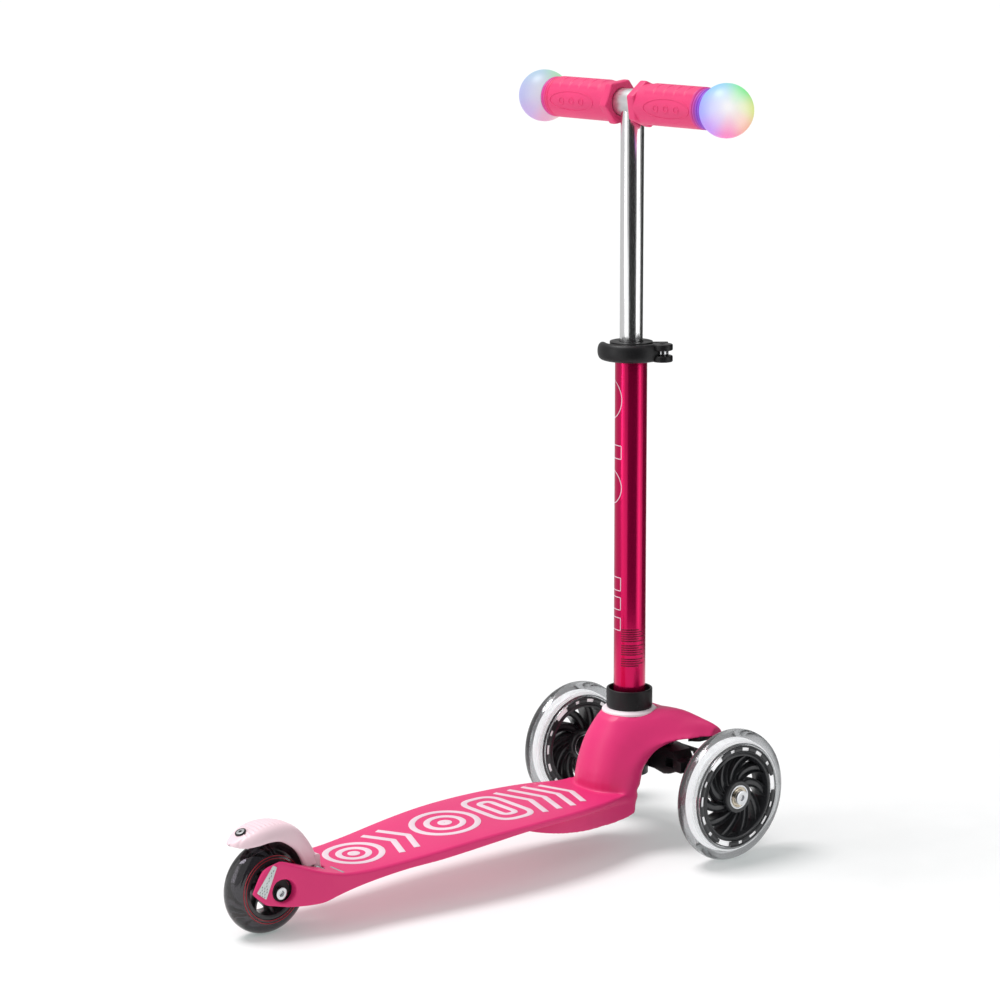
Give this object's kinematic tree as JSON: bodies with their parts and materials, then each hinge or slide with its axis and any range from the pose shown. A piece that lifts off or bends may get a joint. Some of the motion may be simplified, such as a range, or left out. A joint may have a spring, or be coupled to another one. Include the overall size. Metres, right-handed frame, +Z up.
{
  "type": "kick scooter",
  "caption": "Child's lean-to-steer kick scooter with a flexing deck, light-up front wheels, a rear fender brake and a telescopic T-bar with glowing ball ends.",
  "frame": {"origin": "on the ground, under the middle of the whole scooter's box", "axes": "+X forward, +Y to the rider's left, +Z up"},
  "size_m": [0.533, 0.2868, 0.6954],
  "materials": {
    "pink_body": "satin moulded",
    "pale_trim": "soft matte",
    "black_plastic": "fine grain",
    "charcoal_plastic": "semi-gloss moulded",
    "magenta_anodised": "glossy anodised",
    "polished_aluminium": "polished",
    "steel": "zinc plated",
    "spring_steel": "drawn wire",
    "white_nylon": "plain",
    "grip_rubber": "soft matte",
    "light_ball": "frosted translucent",
    "circuit_board": "solder mask",
    "battery_metal": "plated",
    "clear_urethane": "clear cast",
    "smoke_urethane": "smoky cast",
    "led_light": "lit",
    "reflective_film": "retroreflective",
    "fender_plastic": "satin moulded"
  },
  "bodies": {
    "chassis": {"deck_frame": "pink_body", "deck_print": "pale_trim", "neck_trim_ring": "pale_trim", "steering_collar": "black_plastic", "front_chassis": "black_plastic", "arch_liner": "black_plastic", "chassis_screws": "steel", "kingpins": "steel", "steering_springs": "spring_steel", "rear_axle_bolt": "steel", "rear_axle_nut": "steel", "rear_axle_washers": "steel", "arm_reflectors": "reflective_film", "brake_hinge_pin": "steel", "brake_spring": "spring_steel", "stem_tube": "magenta_anodised", "stem_plug": "charcoal_plastic", "stem_bush": "white_nylon", "clamp_collar": "black_plastic", "clamp_bolt": "steel", "clamp_nut": "steel", "latch_spring": "spring_steel"},
    "clamp_lever": {"clamp_lever": "black_plastic"},
    "latch": {"latch_button": "charcoal_plastic"},
    "handlebar": {"inner_post": "polished_aluminium", "post_foot": "white_nylon", "crossbar": "polished_aluminium", "grip_left": "grip_rubber", "grip_right": "grip_rubber", "light_ball_left": "light_ball", "light_ball_right": "light_ball", "light_board_left": "circuit_board", "light_board_right": "circuit_board", "ball_battery_left": "battery_metal", "ball_battery_right": "battery_metal"},
    "rear_wheel": {"rear_tyre": "smoke_urethane", "rear_hub": "charcoal_plastic", "rear_bearings": "steel", "rear_spacer": "polished_aluminium"},
    "brake": {"brake_fender": "fender_plastic", "brake_plate": "spring_steel", "fender_rivet": "steel"},
    "knuckle_left": {"knuckle_left": "black_plastic", "axle_bolt_left": "steel"},
    "knuckle_right": {"knuckle_right": "black_plastic", "axle_bolt_right": "steel"},
    "tie_rod": {"tie_rod": "black_plastic"},
    "front_wheel_left": {"front_tyre_left": "clear_urethane", "front_hub_left": "charcoal_plastic", "led_ring_left": "led_light", "front_bearings_left": "steel", "front_spacer_left": "polished_aluminium"},
    "front_wheel_right": {"front_tyre_right": "clear_urethane", "front_hub_right": "charcoal_plastic", "led_ring_right": "led_light", "front_bearings_right": "steel", "front_spacer_right": "polished_aluminium"}
  },
  "joints": [
    {"name": "rear_wheel_spin", "type": "hinge", "parent": "chassis", "child": "rear_wheel", "pos_m": [-0.2265, 0, 0.04], "axis": [0, 1, 0], "continuous": true},
    {"name": "steer_left", "type": "hinge", "parent": "chassis", "child": "knuckle_left", "pos_m": [0.2065, 0.062, 0.074], "axis": [0.5, 0, 0.866], "range_deg": [-15, 15], "stiffness_Nm_per_rad": 6},
    {"name": "steer_right", "type": "hinge", "parent": "chassis", "child": "knuckle_right", "pos_m": [0.2065, -0.062, 0.074], "axis": [0.5, 0, 0.866], "range_deg": [-15, 15]},
    {"name": "tie_rod_slide", "type": "slide", "parent": "chassis", "child": "tie_rod", "axis": [0, 1, 0], "range_m": [-0.0075, 0.0075]},
    {"name": "front_left_spin", "type": "hinge", "parent": "knuckle_left", "child": "front_wheel_left", "pos_m": [0.2065, 0.1062, 0.06], "axis": [0, 1, 0], "continuous": true},
    {"name": "front_right_spin", "type": "hinge", "parent": "knuckle_right", "child": "front_wheel_right", "pos_m": [0.2065, -0.1062, 0.06], "axis": [0, 1, 0], "continuous": true},
    {"name": "brake_press", "type": "hinge", "parent": "chassis", "child": "brake", "pos_m": [-0.182, 0, 0.05], "axis": [0, -1, 0], "range_deg": [0, 8], "stiffness_Nm_per_rad": 1.5, "springref_deg": -5.73},
    {"name": "handlebar_height", "type": "slide", "parent": "chassis", "child": "handlebar", "axis": [0, 0, 1], "range_m": [-0.185, 0]},
    {"name": "clamp_lever_open", "type": "hinge", "parent": "chassis", "child": "clamp_lever", "pos_m": [0.19041, -0.02943, 0.45275], "axis": [0, 0, 1], "range_deg": [0, 105]},
    {"name": "latch_press", "type": "slide", "parent": "chassis", "child": "latch", "axis": [0, 0, 1], "range_m": [0, 0.003], "stiffness_N_per_m": 400, "springref_m": -0.002, "deforming": ["latch_spring"]}
  ],
  "couplings": [
    {"joint": "steer_right", "follows": "steer_left", "ratio": 1},
    {"joint": "tie_rod_slide", "follows": "steer_left", "m_per_rad": 0.028}
  ]
}
